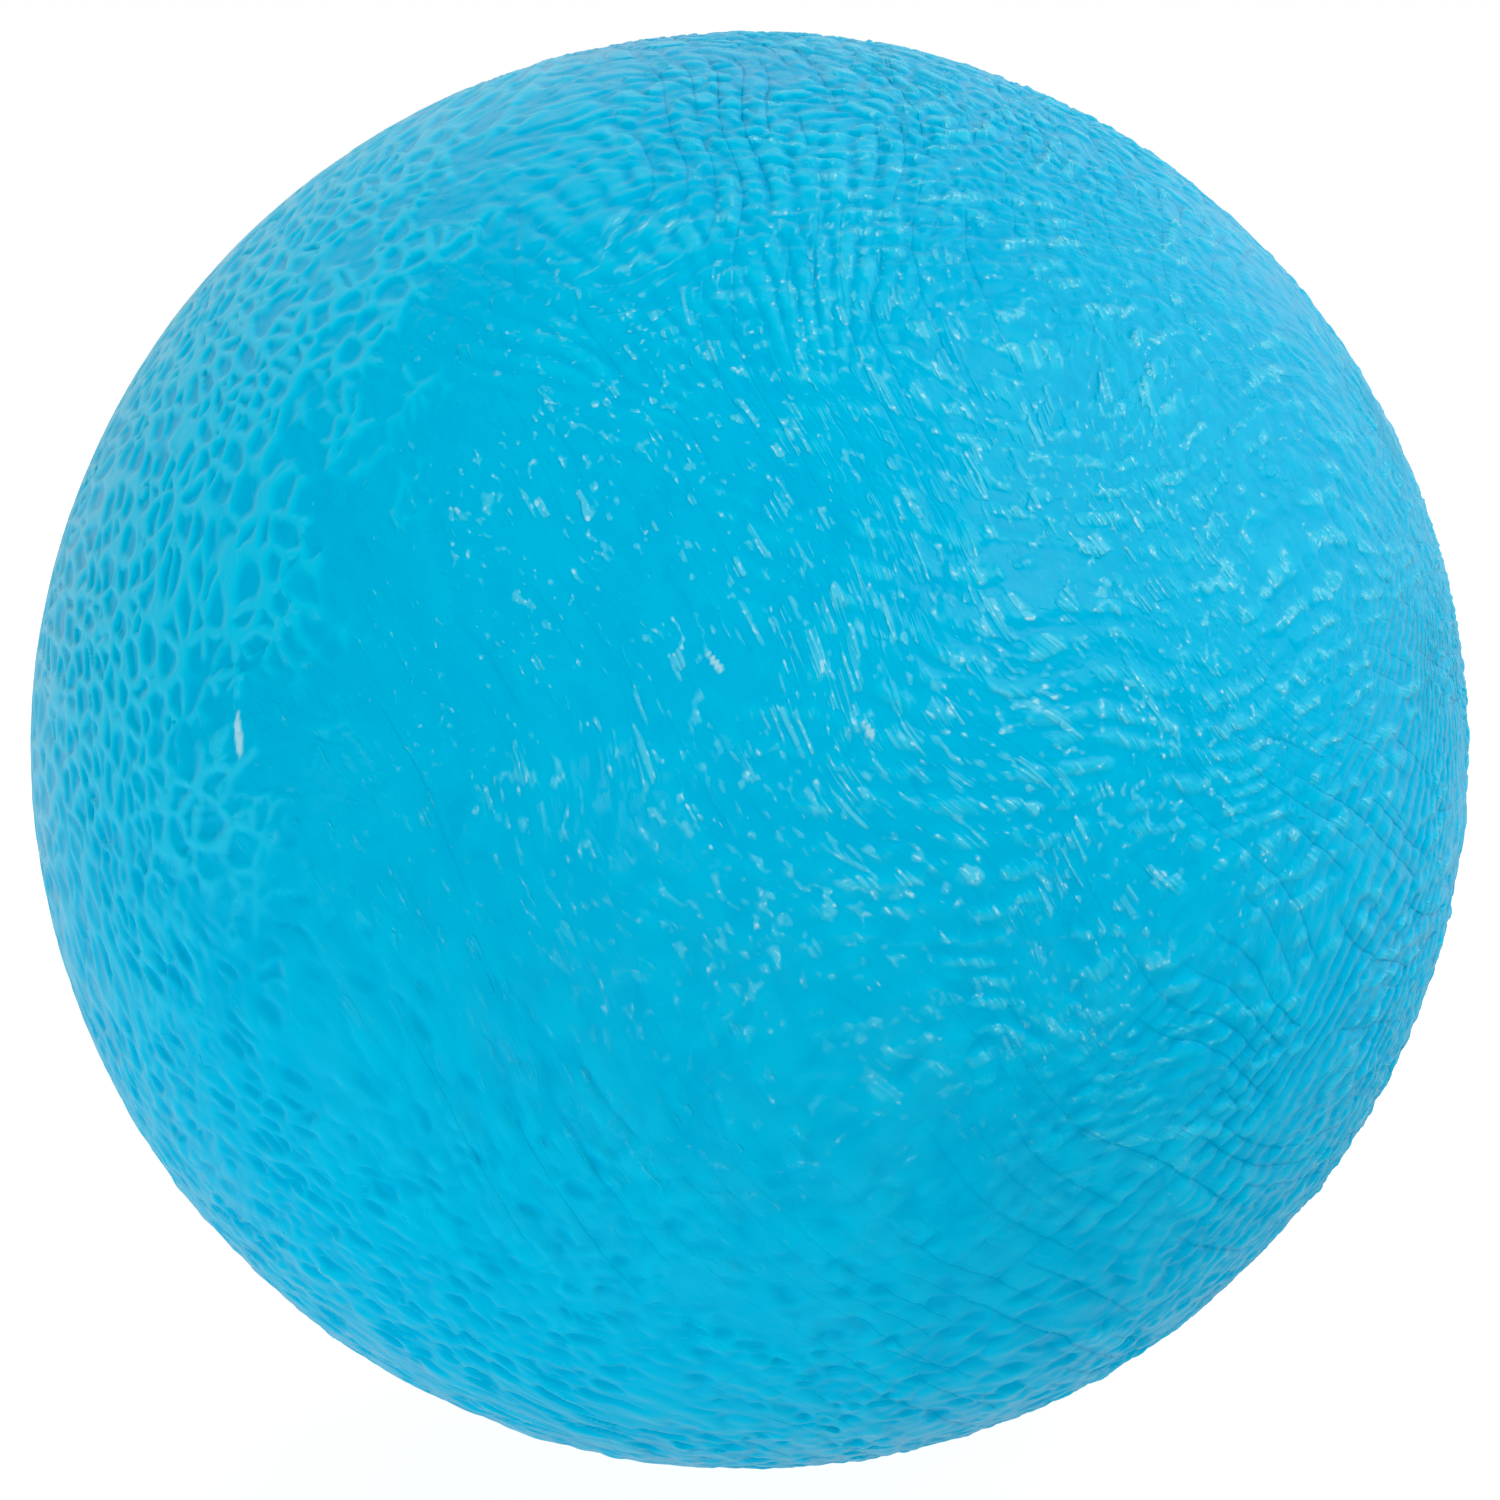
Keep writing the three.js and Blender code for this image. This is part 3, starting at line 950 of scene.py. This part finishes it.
    # Painted shade in the grooves between the rows of pillows and in the hair-thin creases
    groove = shader.span(shader.attribute("groove", "Fac"), 0.1, 1.0, 0.0, 0.42)
    crease_shade = shader.maths("MAXIMUM", groove, shader.times(hair, 0.5))
    colour = shader.mix(crease_shade, colour, CREASE_SHADE_COLOUR)
    shader.put(surface, "Base Color", colour)

    # Polished pimples and streaks on a satin skin
    roughness = shader.times(shader.span(mottle, 0.3, 0.7, 0.9, 1.1), 0.3)
    roughness = shader.maths("SUBTRACT", roughness, shader.times(shader.span(pimple, 0.2, 0.9), 0.17))
    shader.put(surface, "Roughness", roughness)
    return shader.material


def plain_material(name, deep, pale, size, bump_mm, roughness, settings=()):
    """A mottled material, with bumps of the given size in millimetres."""
    shader = Shader(name)
    for socket, value in dict(settings).items():
        shader.surface.inputs[socket].default_value = value
    point = shader.scaled(shader.node("TexCoord").outputs["Object"], (1 / (size * MM),) * 3)
    bumps = shader.noise(point, 3.0)
    cloud = shader.noise(shader.scaled(point, (0.2, 0.2, 0.2)), 3.0)
    shader.put(shader.surface, "Base Color", shader.mix(shader.span(cloud, 0.35, 0.65), deep, pale))
    shader.put(shader.surface, "Roughness", shader.span(bumps, 0.3, 0.7, roughness * 0.85, roughness * 1.15))
    bump = shader.node("Bump", Strength=1.0, Distance=MM, Height=shader.times(bumps, bump_mm))
    shader.put(shader.surface, "Normal", bump.outputs["Normal"])
    return shader.material


# ---------------------------------------------------------------- pieces

def place(piece, material, body, node, slot, fixed_y):
    """Put a finished mesh on its body, for its CAD node. fixed_y, a plane along Y (the centre for what rides
    on the ball, the back for what the joint moves), is not used."""
    piece.data.materials.append(material)
    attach(piece, body)
    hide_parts(node)
    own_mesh(piece)


skin = make_skin()
place(skin, skin_material("skin_rubber"), "ball", "outer_skin", "skin_rubber", 0)
place(make_plug(), skin_material("plug_rubber"), "port", "port_plug", "plug_rubber", RADIUS)
bladder_film = plain_material(
    "bladder_film", deep=(0.58, 0.76, 0.83), pale=(0.68, 0.84, 0.89), size=0.8, bump_mm=0.03, roughness=0.3,
    settings={"Coat Weight": 0.3, "IOR": 1.45},
)
place(make_bladder(), bladder_film, "ball", "inner_bladder", "bladder_film", 0)
gel = plain_material(
    "gel", deep=(0.42, 0.72, 0.84), pale=(0.56, 0.82, 0.91), size=1.6, bump_mm=0.05, roughness=0.14,
    settings={"Transmission Weight": 0.5, "IOR": 1.36},
)
place(make_gel(), gel, "ball", "gel_core", "gel", 0)
stopper_rubber = plain_material(
    "stopper_rubber", deep=(0.72, 0.74, 0.76), pale=(0.83, 0.85, 0.86), size=0.25, bump_mm=0.015,
    roughness=0.6, settings={"Sheen Weight": 0.2},
)
place(make_stopper(), stopper_rubber, "port", "bladder_stopper", "stopper_rubber", RADIUS)


# ---------------------------------------------------------------- studio

def make_floor():
    bpy.ops.mesh.primitive_plane_add(size=6, location=(0, 0, 0))
    floor = bpy.context.object
    floor.name = "floor"
    material = bpy.data.materials.new("floor_white")
    material.use_nodes = True
    surface = material.node_tree.nodes["Principled BSDF"]
    surface.inputs["Base Color"].default_value = (0.2, 0.2, 0.2, 1)
    surface.inputs["Roughness"].default_value = 0.9
    surface.inputs["Specular IOR Level"].default_value = 0
    surface.inputs["Emission Color"].default_value = (1, 1, 1, 1)
    surface.inputs["Emission Strength"].default_value = 0.95
    floor.data.materials.append(material)
    floor.visible_glossy = False


def make_world():
    """White behind the ball, darker behind the camera, and plain white wherever the camera sees it."""
    world = bpy.data.worlds.new("studio")
    world.use_nodes = True
    bpy.context.scene.world = world
    nodes, links = world.node_tree.nodes, world.node_tree.links
    background = nodes["Background"]
    coordinates = nodes.new("ShaderNodeTexCoord")
    facing = nodes.new("ShaderNodeVectorMath")
    facing.operation = "DOT_PRODUCT"
    facing.inputs[1].default_value = seen_from_camera(0, -0.5, 0.87)
    links.new(coordinates.outputs["Generated"], facing.inputs[0])
    ramp = nodes.new("ShaderNodeMapRange")
    ramp.interpolation_type = "SMOOTHSTEP"
    ramp.inputs["From Min"].default_value = -0.95
    ramp.inputs["From Max"].default_value = 0.1
    ramp.inputs["To Min"].default_value = WORLD_BEHIND_BALL
    ramp.inputs["To Max"].default_value = WORLD_BEHIND_CAMERA
    links.new(facing.outputs["Value"], ramp.inputs["Value"])
    seen = nodes.new("ShaderNodeLightPath")
    strength = nodes.new("ShaderNodeMix")
    strength.inputs["B"].default_value = 1
    links.new(seen.outputs["Is Camera Ray"], strength.inputs["Factor"])
    links.new(ramp.outputs["Result"], strength.inputs["A"])
    links.new(strength.outputs["Result"], background.inputs["Strength"])
    background.inputs["Color"].default_value = (1, 1, 1, 1)


def area_light(name, direction, distance, size, power, glossy=True):
    data = bpy.data.lights.new(name, "AREA")
    data.shape = "DISK"
    data.size = size
    data.energy = power
    light = bpy.data.objects.new(name, data)
    bpy.context.scene.collection.objects.link(light)
    light.location = CENTRE + Vector(direction) * distance
    light.rotation_mode = "QUATERNION"
    light.rotation_quaternion = Vector(direction).to_track_quat("Z", "Y")
    light.visible_glossy = glossy


def make_camera():
    data = bpy.data.cameras.new("camera")
    camera = bpy.data.objects.new("camera", data)
    bpy.context.scene.collection.objects.link(camera)
    data.lens = 85
    data.sensor_width = 36
    half_view = math.atan(data.sensor_width / 2 / data.lens)
    # A sphere's outline is its tangent cone, so its half angle gives the distance
    half_ball = math.atan(math.tan(half_view) * BALL_SHARE_OF_PICTURE)
    distance = RADIUS / math.sin(half_ball)
    camera.location = CENTRE + Vector(VIEW_BACK) * distance
    camera.rotation_mode = "QUATERNION"
    camera.rotation_quaternion = Vector(VIEW_BACK).to_track_quat("Z", "Y")
    data.clip_start = 0.01
    bpy.context.scene.camera = camera


make_floor()
make_world()
area_light("key", seen_from_camera(0.45, 0.9, 0.45), distance=0.6, size=0.25, power=2.35, glossy=False)
area_light("fill", seen_from_camera(-0.88, -0.15, 0.45), distance=0.5, size=0.2, power=2.3, glossy=False)
area_light("soft_box", seen_from_camera(0.85, 0.48, 0.3), distance=0.6, size=0.6, power=0.7)
area_light("glint", seen_from_camera(0.55, 0.42, 0.7), distance=0.7, size=0.3, power=0.4)
area_light("glint_left", seen_from_camera(-0.25, -0.1, 0.93), distance=0.7, size=0.05, power=0.12)
area_light("back_fill", seen_from_camera(0.2, 0.6, -0.8), distance=0.5, size=0.5, power=0.9, glossy=False)
make_camera()

view = bpy.context.scene.view_settings
view.view_transform = "Standard"
view.look = "None"
view.use_curve_mapping = True
view.curve_mapping.black_level = (BLACK_LEVEL,) * 3
